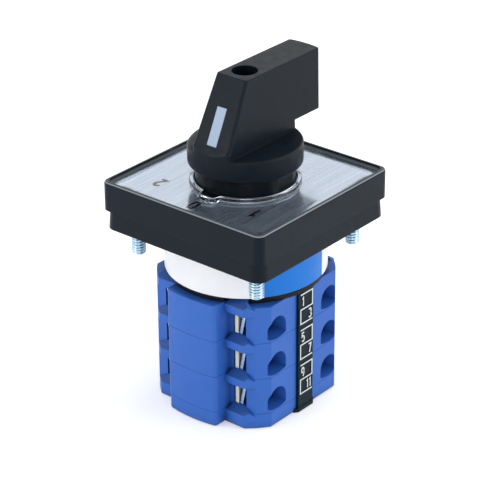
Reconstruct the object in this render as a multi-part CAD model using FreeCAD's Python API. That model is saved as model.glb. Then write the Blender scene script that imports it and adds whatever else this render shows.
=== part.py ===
import FreeCAD, Part
import math
import os

from FreeCAD import Vector

# Rotary cam switch, three contact stages, positions 2-0-1 at 45 degrees.
# Millimetres. The origin lies on the shaft axis in the plane of the panel,
# with +Z towards the handle and the 0 mark of the dial towards -Y.

# Front: frame, base plate, dial and cover
FRAME_SIDE = 48.0
FRAME_CORNER_R = 2.0
FRAME_TOP_Z = 12.1
FRAME_LIP = 0.9
LIP_CORNER_R = 2.0
FRAME_SKIRT = 1.7
FRAME_WEB = 1.8
FRAME_EDGE_R = 0.6
BASE_TOP_SIDE = 46.8
BASE_FOOT_SIDE = 47.3
BASE_CORNER_R = 2.8
BASE_HEIGHT = 4.8
REGISTER_HEIGHT = 1.6
REGISTER_CLEARANCE = 0.1
REGISTER_CORNER_R = 1.2
DIAL_THICKNESS = 0.5
DIAL_CLEARANCE = 0.4
COVER_RECESS = 1.1
COVER_THICKNESS = 0.8
COVER_CLEARANCE = 0.15
COVER_RING_WALL = 1.1
COVER_RING_HEIGHT = 0.7
COVER_BULGE_R = 1.3
NECK_R = 11.9
NECK_WALL = 2.1
NECK_TOP_Z = 15.9
NECK_CLEARANCE = 0.25
KEY_WIDTH = 3.4
KEY_REACH = 2.0
NECK_WINDOW_WIDTH = 5.7
NECK_WINDOW_SHIFT = 0.8
NECK_WINDOW_HEIGHT = 3.2
NECK_WINDOW_DEPTH = 0.5
HUB_RECESS_R = 6.0

# Screws
STUD_PITCH = 36.0
STUD_R = 1.75
STUD_NECK_R = 1.3
STUD_REACH = 7.15
STUD_HEAD_R = 3.2
STUD_HEAD_HEIGHT = 2.2
SCREW_CLEARANCE = 0.1
SLOT_WIDTH = 0.8
SLOT_DEPTH = 0.8
PLATE_SCREW_CIRCLE_R = 15.4
PLATE_SCREW_R = 1.25
PLATE_SCREW_HEAD_R = 2.4
PLATE_SCREW_HEAD_HEIGHT = 1.6
PLATE_SCREW_LENGTH = 6.4
TIE_SCREW_X = 13.4
TIE_SCREW_R = 1.5
TIE_SCREW_HEAD_R = 2.75
TIE_SCREW_HEAD_HEIGHT = 2.0
TIE_SCREW_GRIP = 7.0

# Detent unit behind the panel
DETENT_R = 19.4
DETENT_WALL = 2.2
DETENT_ROOF = 2.0
DETENT_POCKET_DEPTH = 1.4
DETENT_POCKET_CLEARANCE = 0.3
DETENT_DEPTH = 10.6
BOSS_WALL = 1.2
LABEL_THICKNESS = 0.12
LABEL_HEIGHT = 9.8
LABEL_START_DEG = 16.0
LABEL_END_DEG = 322.0
SPACER_R = 18.9
SPACER_THICKNESS = 1.6
STAR_TIP_R = 8.0
STAR_LOBE_DEPTH = 0.9
STAR_LOBES = 8
STAR_HEIGHT = 5.4
STAR_GAP = 1.6
HUB_R = 4.7
HUB_CLEARANCE = 0.15
DETENT_NOSE_R = 1.6
DETENT_NOSE_CLEARANCE = 0.06
DETENT_SLIDE_HALF_WIDTH = 3.2
DETENT_SLIDE_LENGTH = 3.6
GUIDE_CLEARANCE = 0.1
GUIDE_WALL = 1.2

# Contact stages
STAGES = 3
STAGE_PITCH = 9.5
STACK_TOP_Z = -(DETENT_DEPTH + SPACER_THICKNESS)
END_CAP_HEIGHT = 4.04
END_CAP_EDGE_R = 0.6
END_CAP_INSET = 0.1
SEAM_CHAMFER = 0.12
CORNER_R = 21.4
SIDE_X = 17.6
FACET_Y = 17.0
WALL_HALF_WIDTH = 7.4
WALL_MID_Y = 21.2
WALL_BULGE_R = 34.6
WALL_EDGE_R = 1.0
PARTITION = 2.2
WALL_THICKNESS = 1.3
CAM_CHAMBER_R = 9.2

# Wire entries and screwdriver holes of each stage
LINTEL = 2.4
ENTRY_FACE_Y = 15.1
ENTRY_DROP = 0.65
THROAT_INNER_X = 8.6
THROAT_OUTER_X = 12.4
THROAT_WALL = 1.2
RAMP_RISE = 1.1
DRIVER_HOLE_Y = 9.8
DRIVER_HOLE_R = 3.1
DRIVER_HOLE_DROP = 6.6
DRIVER_FLOOR_DROP = 9.2
DRIVER_FLOOR_R = 8.3
CHAMBER_INNER_X = 7.6
CHAMBER_OUTER_X = 12.5
CHAMBER_INNER_Y = 7.3

# Terminals, clamps and moving contacts
SHEET = 1.0
TERMINAL_X = 9.0
TERMINAL_TOP_DROP = 2.6
TERMINAL_FOOT_DROP = 8.3
TERMINAL_BACK_Y = 7.5
TONGUE_THICKNESS = 0.7
TONGUE_END_X = 4.3
TONGUE_DROP = 4.6
TONGUE_HEIGHT = 3.0
BUTTON_X = 5.1
BUTTON_R = 0.75
BUTTON_HEIGHT = 0.5
CONTACT_GAP = 1.65
STROKE = 1.6
TERMINAL_SCREW_R = 1.4
TERMINAL_SCREW_HEAD_R = 2.35
TERMINAL_SCREW_HEAD = 1.5
TERMINAL_SCREW_HEAD_X = 12.0
TERMINAL_SCREW_TIP_X = 8.2
CLAMP_WIDTH = 4.8
CLAMP_RISE = 3.0
CLAMP_FALL = 1.75
CLAMP_THICKNESS = 0.8
CLAMP_TILT_DEG = 12.0
BRIDGE_HALF_LENGTH = 5.8
BRIDGE_THICKNESS = 0.9
BRIDGE_HEIGHT = 2.8
BRIDGE_CLEARANCE = 0.06
CHAMBER_HALF_WIDTH = 6.1
CHAMBER_END_Y = 19.4
NOSE_R = 1.2
NOSE_CLEARANCE = 0.06
NOSE_REST_Y = 8.2
SLIDE_HALF_WIDTH = 3.4
SLIDE_SHOULDER_Y = 9.8
SLIDE_HEIGHT = 5.8
SLIDE_TOP_DROP = 2.9
SLIDE_REAR_Y = 15.0
WING_LENGTH = 1.4
WING_HALF_WIDTH = 5.9
SPRING_BOSS_R = 1.4
SPRING_BOSS_LENGTH = 1.0
SPRING_MEAN_R = 2.0
SPRING_WIRE_R = 0.25
SPRING_TURNS = 4

# Cams and shaft
HANDLE_TRAVEL_DEG = 45.0
CAM_THICKNESS = 4.6
CAM_TOP_DROP = 3.5
SHAFT_SIDE = 6.0
SQUARE_CLEARANCE = 0.05
SHAFT_TOP_Z = 19.2
SHAFT_END_R = 2.8
SHAFT_END_LENGTH = 2.6

# Handle
DISC_R = 13.6
DISC_BOTTOM_Z = 16.0
DISC_TOP_Z = 21.1
DISC_FOOT_EDGE_R = 0.3
DISC_RIGHT_EDGE_R = 0.45
DISC_LEFT_EDGE_R = 1.9
DISC_SHIFT = 1.0
LEVER_TOP_Z = 38.24
LEVER_TOP_HALF = 4.5
LEVER_FOOT_HALF = 5.5
LEVER_FRONT_Y = -4.85
LEVER_REAR_TOP_R = 22.5
LEVER_REAR_FOOT_R = 21.9
LEVER_NOSE_Y = -12.15
LEVER_NOSE_Z = 23.25
NOSE_RIM_Z = 21.4
TOE_SAG = 0.12
LEVER_NECK_Y = 12.3
LEVER_OVERHANG_Z = 23.4
LEVER_EDGE_R = 0.8
LEVER_TOP_EDGE_R = 0.4
DRIVER_BORE_R = 3.1
SCREW_SEAT_Z = 22.0
HANDLE_SCREW_R = 2.0
HANDLE_SCREW_HEAD_R = 2.75
HANDLE_SCREW_HEAD_HEIGHT = 2.6
HANDLE_SCREW_LENGTH = 12.0
BOSS_R = 9.6
BOSS_BOTTOM_Z = 8.2
SOCKET_R = 5.6
BOSS_RING_WALL = 1.8
POINTER_WIDTH = 2.75
POINTER_TOP_Z = 31.7
POINTER_FOOT_Z = 23.45
POINTER_DEPTH = 0.4
POINTER_PROUD = 0.05

# Number strips on the two sides
STRIP_WIDTH = 5.5
STRIP_THICKNESS = 0.65
STRIP_FOOT_WIDTH = 7.8
STRIP_FOOT_THICKNESS = 0.85
STRIP_FOOT_HEIGHT = 1.0

# Places that follow from the sizes above
STACK_END_Z = STACK_TOP_Z - STAGES * STAGE_PITCH
BOTTOM_Z = STACK_END_Z - END_CAP_HEIGHT
REGISTER_SIDE = FRAME_SIDE - 2 * FRAME_SKIRT - 2 * REGISTER_CLEARANCE
COVER_SIDE = FRAME_SIDE - 2 * FRAME_LIP - 2 * COVER_CLEARANCE
DIAL_SIDE = FRAME_SIDE - 2 * FRAME_LIP - 2 * DIAL_CLEARANCE
COVER_TOP_Z = FRAME_TOP_Z - COVER_RECESS
COVER_Z = COVER_TOP_Z - COVER_THICKNESS
DIAL_Z = COVER_Z - DIAL_THICKNESS
WEB_Z = DIAL_Z - FRAME_WEB
NECK_BORE_R = NECK_R - NECK_WALL
NECK_HOLE_R = NECK_R + NECK_CLEARANCE
STUD_HEAD_Z = BASE_HEIGHT - STUD_HEAD_HEIGHT
PLATE_SCREW_HEAD_Z = BASE_HEIGHT - PLATE_SCREW_HEAD_HEIGHT
HUB_BORE_R = HUB_R + HUB_CLEARANCE
STAR_TOP_Z = DETENT_POCKET_DEPTH - DETENT_ROOF - STAR_GAP
TRAVEL = math.radians(HANDLE_TRAVEL_DEG)


def cylinder(radius, z0, z1, x=0.0, y=0.0):
    return Part.makeCylinder(radius, z1 - z0, Vector(x, y, z0))


def rod(radius, start, end):
    "A cylinder from one point to another."
    way = end - start
    return Part.makeCylinder(radius, way.Length, start, way)


def block(x0, x1, y0, y1, z0, z1):
    return Part.makeBox(x1 - x0, y1 - y0, z1 - z0, Vector(x0, y0, z0))


def square_bar(side, z0, z1):
    return block(-side / 2, side / 2, -side / 2, side / 2, z0, z1)


def rounded_wire(side, radius, z):
    "A square with round corners, as one wire."
    flat = side / 2 - radius
    edges = []
    for turn in range(4):
        start = math.radians(90 * turn)
        corner = Vector(flat, flat, 0)
        arc = Part.Arc(
            corner + Vector(radius, 0, 0),
            corner + Vector(radius * math.cos(math.pi / 4), radius * math.sin(math.pi / 4), 0),
            corner + Vector(0, radius, 0),
        ).toShape()
        line = Part.LineSegment(Vector(flat, flat + radius, 0), Vector(-flat, flat + radius, 0)).toShape()
        for edge in (arc, line):
            edge.rotate(Vector(0, 0, 0), Vector(0, 0, 1), math.degrees(start))
            edges.append(edge)
    wire = Part.Wire(Part.sortEdges(edges)[0])
    wire.translate(Vector(0, 0, z))
    return wire


def rounded_slab(side, radius, z0, z1):
    return Part.Face(rounded_wire(side, radius, z0)).extrude(Vector(0, 0, z1 - z0))


def prism(points, way):
    "The closed polygon through the points, pushed along way."
    return Part.Face(Part.makePolygon(points + [points[0]])).extrude(way)


def polyhedron(points, faces):
    "A solid from its corners and the corner numbers of each face."
    skins = []
    for face in faces:
        ring = [points[number] for number in face]
        skins.append(Part.Face(Part.makePolygon(ring + [ring[0]])))
    return Part.Solid(Part.Shell(skins))


def flipped(shape, x=False, y=False):
    "A copy mirrored across the planes x = 0 and y = 0."
    copy = shape.copy()
    if x:
        copy = copy.mirror(Vector(0, 0, 0), Vector(1, 0, 0))
    if y:
        copy = copy.mirror(Vector(0, 0, 0), Vector(0, 1, 0))
    return copy


def four_corners(shape):
    "The shape in the +X, -Y corner and its mirror images in the other three."
    return [flipped(shape, x, y) for y in (False, True) for x in (False, True)]


def united(shapes):
    return shapes[0].fuse(shapes[1:]).removeSplitter()


def slotted_head(radius, height, base, way):
    "A cheese head with a straight screwdriver slot, its flat face at base."
    head = Part.makeCylinder(radius, height, base, way)
    slot = Part.makeBox(2.2 * radius, SLOT_WIDTH, SLOT_DEPTH + 0.2)
    slot.translate(Vector(-1.1 * radius, -SLOT_WIDTH / 2, height - SLOT_DEPTH))
    slot.Placement = FreeCAD.Placement(base, FreeCAD.Rotation(Vector(0, 0, 1), way)).multiply(slot.Placement)
    return head.cut(slot)


def coil_spring(mean_r, wire_r, turns, start, length, way):
    "A round-wire coil between two flat seats."
    pitch = (length - 2 * wire_r) / turns
    points = []
    per_turn = 12
    for step in range(turns * per_turn + 1):
        angle = 2 * math.pi * step / per_turn
        points.append(Vector(mean_r * math.cos(angle), mean_r * math.sin(angle), pitch * step / per_turn))
    curve = Part.BSplineCurve()
    curve.interpolate(Points=points)
    ring = Part.Wire(Part.makeCircle(wire_r, points[0], curve.tangent(curve.FirstParameter)[0]))
    coil = Part.Wire(curve.toShape()).makePipeShell([ring], True, True)
    seat = start + way * wire_r
    coil.Placement = FreeCAD.Placement(seat, FreeCAD.Rotation(Vector(0, 0, 1), way))
    return coil


# Front pieces

def stud_places():
    half = STUD_PITCH / 2
    return [(x, y) for x in (-half, half) for y in (-half, half)]


def plate_screw_places():
    reach = PLATE_SCREW_CIRCLE_R / math.sqrt(2)
    return [(x, y) for x in (-reach, reach) for y in (-reach, reach)]


def neck_key(extra, z0, z1):
    "The key of the neck on its -Y side, or the notch for it when extra is more than nothing."
    half = KEY_WIDTH / 2 + extra
    return block(-half, half, -(NECK_R + KEY_REACH + extra), -NECK_BORE_R - 0.5, z0, z1)


def make_base_plate():
    foot = rounded_wire(BASE_FOOT_SIDE, BASE_CORNER_R, 0)
    top = rounded_wire(BASE_TOP_SIDE, BASE_CORNER_R, BASE_HEIGHT)
    plate = Part.makeLoft([foot, top], True, True)
    register_top = BASE_HEIGHT + REGISTER_HEIGHT
    register = rounded_slab(REGISTER_SIDE, REGISTER_CORNER_R, BASE_HEIGHT, register_top)
    neck = cylinder(NECK_R, BASE_HEIGHT, NECK_TOP_Z)
    key = neck_key(0, BASE_HEIGHT, COVER_TOP_Z + COVER_RING_HEIGHT)
    plate = united([plate, register, neck, key])
    cuts = [
        cylinder(DETENT_R + DETENT_POCKET_CLEARANCE, 0, DETENT_POCKET_DEPTH),
        cylinder(HUB_RECESS_R, 0, BASE_HEIGHT + REGISTER_HEIGHT),
        cylinder(NECK_BORE_R, BASE_HEIGHT, NECK_TOP_Z),
    ]
    for x, y in stud_places():
        cuts.append(cylinder(STUD_R + SCREW_CLEARANCE, 0, register_top, x, y))
        cuts.append(cylinder(STUD_HEAD_R + SCREW_CLEARANCE, STUD_HEAD_Z, register_top, x, y))
    for x, y in plate_screw_places():
        cuts.append(cylinder(PLATE_SCREW_R + SCREW_CLEARANCE, 0, register_top, x, y))
        cuts.append(cylinder(PLATE_SCREW_HEAD_R + SCREW_CLEARANCE, PLATE_SCREW_HEAD_Z, register_top, x, y))
    sill = COVER_TOP_Z + COVER_RING_HEIGHT
    y0 = NECK_WINDOW_SHIFT - NECK_WINDOW_WIDTH / 2
    y1 = NECK_WINDOW_SHIFT + NECK_WINDOW_WIDTH / 2
    window = block(NECK_R - NECK_WINDOW_DEPTH, NECK_R + 1, y0, y1, sill, sill + NECK_WINDOW_HEIGHT)
    cuts.append(window)
    return plate.cut(cuts)


def make_bezel_frame():
    frame = rounded_slab(FRAME_SIDE, FRAME_CORNER_R, BASE_HEIGHT, FRAME_TOP_Z)
    rim = [edge for edge in frame.Edges if abs(edge.BoundBox.ZMin - FRAME_TOP_Z) < 1e-6]
    frame = frame.makeFillet(FRAME_EDGE_R, rim)
    lower = rounded_slab(FRAME_SIDE - 2 * FRAME_SKIRT, REGISTER_CORNER_R, BASE_HEIGHT, WEB_Z)
    upper = rounded_slab(FRAME_SIDE - 2 * FRAME_LIP, LIP_CORNER_R, DIAL_Z, FRAME_TOP_Z)
    hole = cylinder(NECK_HOLE_R, WEB_Z, DIAL_Z)
    notch = neck_key(NECK_CLEARANCE, WEB_Z, DIAL_Z)
    return frame.cut([lower, upper, hole, notch])


def make_dial_plate():
    plate = rounded_slab(DIAL_SIDE, LIP_CORNER_R, DIAL_Z, COVER_Z)
    hole = cylinder(NECK_HOLE_R, DIAL_Z, COVER_Z)
    return plate.cut([hole, neck_key(NECK_CLEARANCE, DIAL_Z, COVER_Z)])


def make_clear_cover():
    ring_top = COVER_TOP_Z + COVER_RING_HEIGHT
    plate = rounded_slab(COVER_SIDE, LIP_CORNER_R, COVER_Z, COVER_TOP_Z)
    ring = cylinder(NECK_HOLE_R + COVER_RING_WALL, COVER_Z, ring_top)
    bulge = neck_key(NECK_CLEARANCE + COVER_RING_WALL, COVER_Z, ring_top)
    front_y = bulge.BoundBox.YMin
    corners = []
    for edge in bulge.Edges:
        box = edge.BoundBox
        if box.ZLength > COVER_RING_HEIGHT and abs(box.YMax - front_y) < 1e-6:
            corners.append(edge)
    bulge = bulge.makeFillet(COVER_BULGE_R, corners)
    cover = united([plate, ring, bulge])
    hole = cylinder(NECK_HOLE_R, COVER_Z, ring_top)
    return cover.cut([hole, neck_key(NECK_CLEARANCE, COVER_Z, ring_top)])


def make_panel_screws():
    screws = []
    for x, y in stud_places():
        head = slotted_head(STUD_HEAD_R, STUD_HEAD_HEIGHT, Vector(x, y, STUD_HEAD_Z), Vector(0, 0, 1))
        shank = cylinder(STUD_R, -STUD_REACH, 0, x, y)
        tip = [edge for edge in shank.Edges if abs(edge.BoundBox.ZMax + STUD_REACH) < 1e-6]
        shank = shank.makeChamfer(0.45, tip)
        neck = cylinder(STUD_NECK_R, 0, STUD_HEAD_Z, x, y)
        screws.append(united([head, neck, shank]))
    return Part.makeCompound(screws)


def make_plate_screws():
    screws = []
    for x, y in plate_screw_places():
        seat = Vector(x, y, PLATE_SCREW_HEAD_Z)
        head = slotted_head(PLATE_SCREW_HEAD_R, PLATE_SCREW_HEAD_HEIGHT, seat, Vector(0, 0, 1))
        shank = cylinder(PLATE_SCREW_R, PLATE_SCREW_HEAD_Z - PLATE_SCREW_LENGTH, PLATE_SCREW_HEAD_Z, x, y)
        screws.append(united([head, shank]))
    return Part.makeCompound(screws)


# Detent unit

def make_detent_housing():
    roof_z = DETENT_POCKET_DEPTH - DETENT_ROOF
    cup = cylinder(DETENT_R, -DETENT_DEPTH, DETENT_POCKET_DEPTH)
    cavity = cylinder(DETENT_R - DETENT_WALL, -DETENT_DEPTH, roof_z)
    additions = []
    for x, y in plate_screw_places():
        boss_foot = PLATE_SCREW_HEAD_Z - PLATE_SCREW_LENGTH - BOSS_WALL
        additions.append(cylinder(PLATE_SCREW_R + BOSS_WALL, boss_foot, roof_z, x, y))
    for side in (-1, 1):
        boss = cylinder(TIE_SCREW_R + BOSS_WALL, -DETENT_DEPTH, roof_z, side * TIE_SCREW_X, 0)
        near, far = sorted((side * TIE_SCREW_X, side * (DETENT_R - DETENT_WALL / 2)))
        rib = block(near, far, -BOSS_WALL, BOSS_WALL, -DETENT_DEPTH, roof_z)
        additions.extend([boss, rib])
        for edge in (-1, 1):
            inner = edge * (DETENT_SLIDE_HALF_WIDTH + GUIDE_CLEARANCE)
            x0, x1 = sorted((inner, inner + edge * GUIDE_WALL))
            y0, y1 = sorted((side * (STAR_TIP_R + 2.0), side * (DETENT_R - DETENT_WALL / 2)))
            additions.append(block(x0, x1, y0, y1, STAR_TOP_Z - STAR_HEIGHT, roof_z))
    shell = cup.cut(cavity)
    shell = united([shell] + additions)
    holes = [cylinder(HUB_BORE_R, roof_z, DETENT_POCKET_DEPTH)]
    for x, y in plate_screw_places():
        foot = PLATE_SCREW_HEAD_Z - PLATE_SCREW_LENGTH - 0.3
        holes.append(cylinder(PLATE_SCREW_R + SCREW_CLEARANCE, foot, DETENT_POCKET_DEPTH, x, y))
    for side in (-1, 1):
        top = -DETENT_DEPTH + TIE_SCREW_GRIP + 0.3
        holes.append(cylinder(TIE_SCREW_R + SCREW_CLEARANCE, -DETENT_DEPTH, top, side * TIE_SCREW_X, 0))
    return shell.cut(holes)


def make_rating_label():
    "The blank white band round the detent unit, open where its ends don't meet."
    outer = DETENT_R + LABEL_THICKNESS
    z0 = -DETENT_DEPTH
    sweep = LABEL_END_DEG - LABEL_START_DEG
    band = Part.makeCylinder(outer, LABEL_HEIGHT, Vector(0, 0, z0), Vector(0, 0, 1), sweep)
    core = cylinder(DETENT_R, z0 - 1, z0 + LABEL_HEIGHT + 1)
    band.rotate(Vector(0, 0, 0), Vector(0, 0, 1), LABEL_START_DEG)
    return band.cut(core)


def make_spacer_plate():
    plate = cylinder(SPACER_R, STACK_TOP_Z, STACK_TOP_Z + SPACER_THICKNESS)
    cuts = [cylinder(HUB_BORE_R, STACK_TOP_Z, STACK_TOP_Z + SPACER_THICKNESS)]
    for side in (-1, 1):
        hole = cylinder(TIE_SCREW_R + SCREW_CLEARANCE, STACK_TOP_Z, -DETENT_DEPTH, side * TIE_SCREW_X, 0)
        cuts.append(hole)
    pocket = block(
        WALL_HALF_WIDTH, CORNER_R, -CORNER_R, -(ENTRY_FACE_Y - THROAT_WALL),
        STACK_TOP_Z, STACK_TOP_Z + RAMP_RISE + SCREW_CLEARANCE,
    )
    return plate.cut(cuts + four_corners(pocket))


def make_star_wheel():
    "The detent wheel, its valleys under the rollers at rest, with the hub that turns in the roof."
    mean = STAR_TIP_R - STAR_LOBE_DEPTH / 2
    points = []
    steps = STAR_LOBES * 8
    for step in range(steps):
        angle = 2 * math.pi * step / steps
        radius = mean - STAR_LOBE_DEPTH / 2 * math.cos(STAR_LOBES * angle)
        points.append(Vector(radius * math.cos(angle), radius * math.sin(angle), STAR_TOP_Z - STAR_HEIGHT))
    curve = Part.BSplineCurve()
    curve.interpolate(Points=points, PeriodicFlag=True)
    star = Part.Face(Part.Wire(curve.toShape())).extrude(Vector(0, 0, STAR_HEIGHT))
    hub = cylinder(HUB_R, STACK_TOP_Z + SQUARE_CLEARANCE, DETENT_POCKET_DEPTH)
    hole = square_bar(SHAFT_SIDE + 2 * SQUARE_CLEARANCE, STACK_TOP_Z, DETENT_POCKET_DEPTH)
    return united([star, hub]).cut(hole)


def detent_nose_y():
    "Middle of the round nose, just clear of the wheel's tips."
    return STAR_TIP_R + DETENT_NOSE_CLEARANCE + DETENT_NOSE_R


def make_detent_slide():
    "The sprung slide with a round nose that drops between the lobes, on the -Y side."
    y = -detent_nose_y()
    z0 = STAR_TOP_Z - STAR_HEIGHT
    z1 = STAR_TOP_Z
    nose = cylinder(DETENT_NOSE_R, z0, z1, 0, y)
    neck = block(-DETENT_NOSE_R, DETENT_NOSE_R, y - DETENT_NOSE_R - 0.2, y, z0, z1)
    half = DETENT_SLIDE_HALF_WIDTH
    slide = block(-half, half, y - DETENT_SLIDE_LENGTH, y - DETENT_NOSE_R, z0, z1)
    return united([nose, neck, slide])


def make_detent_spring(side):
    start_y = detent_nose_y() + DETENT_SLIDE_LENGTH
    length = DETENT_R - DETENT_WALL - start_y - 0.3
    middle = STAR_TOP_Z - STAR_HEIGHT / 2
    seat = Vector(0, side * (start_y + 0.05), middle)
    return coil_spring(SPRING_MEAN_R - 0.2, SPRING_WIRE_R, SPRING_TURNS, seat, length, Vector(0, side, 0))


# Contact stages

def stage_outline(z0, z1, inset=0.0):
    "The plan of the blue body, from z0 up to z1; inset draws its two walls in."
    height = z1 - z0
    core = cylinder(CORNER_R, z0, z1)
    core = core.common(block(-SIDE_X, SIDE_X, -FACET_Y, FACET_Y, z0, z1))
    width = WALL_HALF_WIDTH - inset
    middle = WALL_MID_Y - inset
    half = block(-width, width, -middle, 0, z0, z1)
    bulge = cylinder(WALL_BULGE_R, z0, z1, 0, WALL_BULGE_R - middle)
    half = half.common(bulge)
    corners = []
    for edge in half.Edges:
        box = edge.BoundBox
        upright = box.ZLength > height - 1e-6 and box.XLength < 1e-6 and box.YLength < 1e-6
        if upright and box.YMax < -FACET_Y:
            corners.append(edge)
    half = half.makeFillet(WALL_EDGE_R, corners)
    return united([core, half, flipped(half, y=True)])


def softened(body, z):
    "The body with the rim of its outline at height z taken down by a small chamfer."
    rim = []
    for edge in body.Edges:
        box = edge.BoundBox
        if box.ZLength < 1e-6 and abs(box.ZMax - z) < 1e-6:
            rim.append(edge)
    return body.makeChamfer(SEAM_CHAMFER, rim)


def entry_block(z0, z1, clearance=0.0):
    "The recess of a wire entry outside its throat, in the +X, -Y corner."
    return block(WALL_HALF_WIDTH - clearance, CORNER_R, -CORNER_R, -ENTRY_FACE_Y, z0, z1)


def entry_ramp(z_top):
    "The funnel floor that rises into the entry of the stage in front, on top of a stage or the cap."
    floor = z_top - ENTRY_DROP
    crest = z_top + RAMP_RISE
    left = THROAT_INNER_X + 0.05
    right = THROAT_OUTER_X - 0.05
    back = -ENTRY_FACE_Y
    front = -(FACET_Y + 0.3)
    outer = math.sqrt(CORNER_R ** 2 - ENTRY_FACE_Y ** 2)
    corners = [
        Vector(left, back, crest),
        Vector(right, back, crest),
        Vector(outer, back, floor),
        Vector(WALL_HALF_WIDTH, back, floor),
        Vector(WALL_HALF_WIDTH, front, floor),
        Vector(outer, front, floor),
    ]
    faces = [(0, 1, 2, 3), (0, 4, 5, 1), (3, 2, 5, 4), (0, 3, 4), (1, 5, 2)]
    fan = polyhedron(corners, faces)
    fan = fan.common(stage_outline(floor, crest))
    plug = block(left, right, back, -(ENTRY_FACE_Y - THROAT_WALL + 0.05), floor, crest)
    return fan.fuse(plug)


def with_ramps(body, z_top):
    "The body with its four entry edges cut down and the ramps set on them."
    cut = entry_block(z_top - ENTRY_DROP, z_top)
    body = body.cut(four_corners(cut))
    return united([body] + four_corners(entry_ramp(z_top)))


def driver_hole(z_top):
    "The arched screwdriver hole in the +X side, with a hollow floor."
    middle = z_top - DRIVER_HOLE_DROP
    x0 = CHAMBER_OUTER_X - 0.1
    x1 = CORNER_R
    arch = rod(DRIVER_HOLE_R, Vector(x0, -DRIVER_HOLE_Y, middle), Vector(x1, -DRIVER_HOLE_Y, middle))
    y0 = -(DRIVER_HOLE_Y + DRIVER_HOLE_R)
    y1 = -(DRIVER_HOLE_Y - DRIVER_HOLE_R)
    floor = z_top - DRIVER_FLOOR_DROP
    legs = block(x0, x1, y0, y1, floor, middle)
    round_z = floor + DRIVER_FLOOR_R
    bound = rod(DRIVER_FLOOR_R, Vector(x0, -DRIVER_HOLE_Y, round_z), Vector(x1, -DRIVER_HOLE_Y, round_z))
    return united([arch, legs]).common(bound)


def terminal_chamber(z_top):
    "The room of one terminal and its clamp, with the throat and the slot for the tongue."
    foot = z_top - STAGE_PITCH
    room = block(
        CHAMBER_INNER_X, CHAMBER_OUTER_X, -(ENTRY_FACE_Y - THROAT_WALL), -CHAMBER_INNER_Y,
        foot, z_top - PARTITION,
    )
    throat = block(
        THROAT_INNER_X, THROAT_OUTER_X, -ENTRY_FACE_Y, -(ENTRY_FACE_Y - THROAT_WALL),
        foot, z_top - LINTEL,
    )
    tongue_slot = block(
        CHAMBER_HALF_WIDTH - 0.1, CHAMBER_INNER_X,
        -(TERMINAL_BACK_Y + TONGUE_THICKNESS + 0.1), -(TERMINAL_BACK_Y - 0.1),
        foot, z_top - TONGUE_DROP + 0.1,
    )
    return united([room, throat, tongue_slot])


def make_stage(z_top):
    foot = z_top - STAGE_PITCH
    body = softened(softened(stage_outline(foot, z_top), z_top), foot)
    body = with_ramps(body, z_top)
    inside = z_top - PARTITION
    cuts = [
        cylinder(CAM_CHAMBER_R, foot, inside),
        block(-CHAMBER_HALF_WIDTH, CHAMBER_HALF_WIDTH, -CHAMBER_END_Y, CHAMBER_END_Y, foot, inside),
        cylinder(HUB_BORE_R, foot, z_top),
    ]
    for side in (-1, 1):
        cuts.append(cylinder(TIE_SCREW_R + SCREW_CLEARANCE, foot, z_top, side * TIE_SCREW_X, 0))
    cuts.extend(four_corners(entry_block(foot, z_top - LINTEL)))
    cuts.extend(four_corners(terminal_chamber(z_top)))
    cuts.extend(four_corners(driver_hole(z_top)))
    return body.cut(cuts)


def make_end_cap():
    body = softened(stage_outline(BOTTOM_Z, STACK_END_Z, END_CAP_INSET), STACK_END_Z)
    rim = [edge for edge in body.Edges if edge.BoundBox.ZMax < BOTTOM_Z + 1e-6]
    body = body.makeFillet(END_CAP_EDGE_R, rim)
    body = with_ramps(body, STACK_END_Z)
    bearing = cylinder(SHAFT_END_R + SQUARE_CLEARANCE, STACK_END_Z - SHAFT_END_LENGTH - 0.2, STACK_END_Z)
    cuts = [bearing]
    for side in (-1, 1):
        x = side * TIE_SCREW_X
        cuts.append(cylinder(TIE_SCREW_R + SCREW_CLEARANCE, BOTTOM_Z, STACK_END_Z, x, 0))
        seat = BOTTOM_Z + TIE_SCREW_HEAD_HEIGHT + 0.3
        cuts.append(cylinder(TIE_SCREW_HEAD_R + SCREW_CLEARANCE, BOTTOM_Z, seat, x, 0))
    return body.cut(cuts)


def make_tie_screws():
    screws = []
    seat_z = BOTTOM_Z + TIE_SCREW_HEAD_HEIGHT + 0.3
    for side in (-1, 1):
        x = side * TIE_SCREW_X
        head = slotted_head(TIE_SCREW_HEAD_R, TIE_SCREW_HEAD_HEIGHT, Vector(x, 0, seat_z), Vector(0, 0, -1))
        shank = cylinder(TIE_SCREW_R, seat_z, -DETENT_DEPTH + TIE_SCREW_GRIP, x, 0)
        screws.append(united([head, shank]))
    return Part.makeCompound(screws)


def make_number_strip():
    "The black strip on the +X side, with a foot at its rear end."
    half = STRIP_WIDTH / 2
    foot = STRIP_FOOT_WIDTH / 2
    z0 = BOTTOM_Z + 0.1
    strip = block(SIDE_X, SIDE_X + STRIP_THICKNESS, -half, half, z0, STACK_TOP_Z)
    base = prism([
        Vector(SIDE_X, -foot, z0),
        Vector(SIDE_X + STRIP_FOOT_THICKNESS, -half, z0),
        Vector(SIDE_X + STRIP_FOOT_THICKNESS, half, z0),
        Vector(SIDE_X, foot, z0),
    ], Vector(0, 0, STRIP_FOOT_HEIGHT))
    return united([strip, base])


# Contacts of one stage. Each is made in the +X, -Y corner or on the -Y side, then mirrored.

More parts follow.
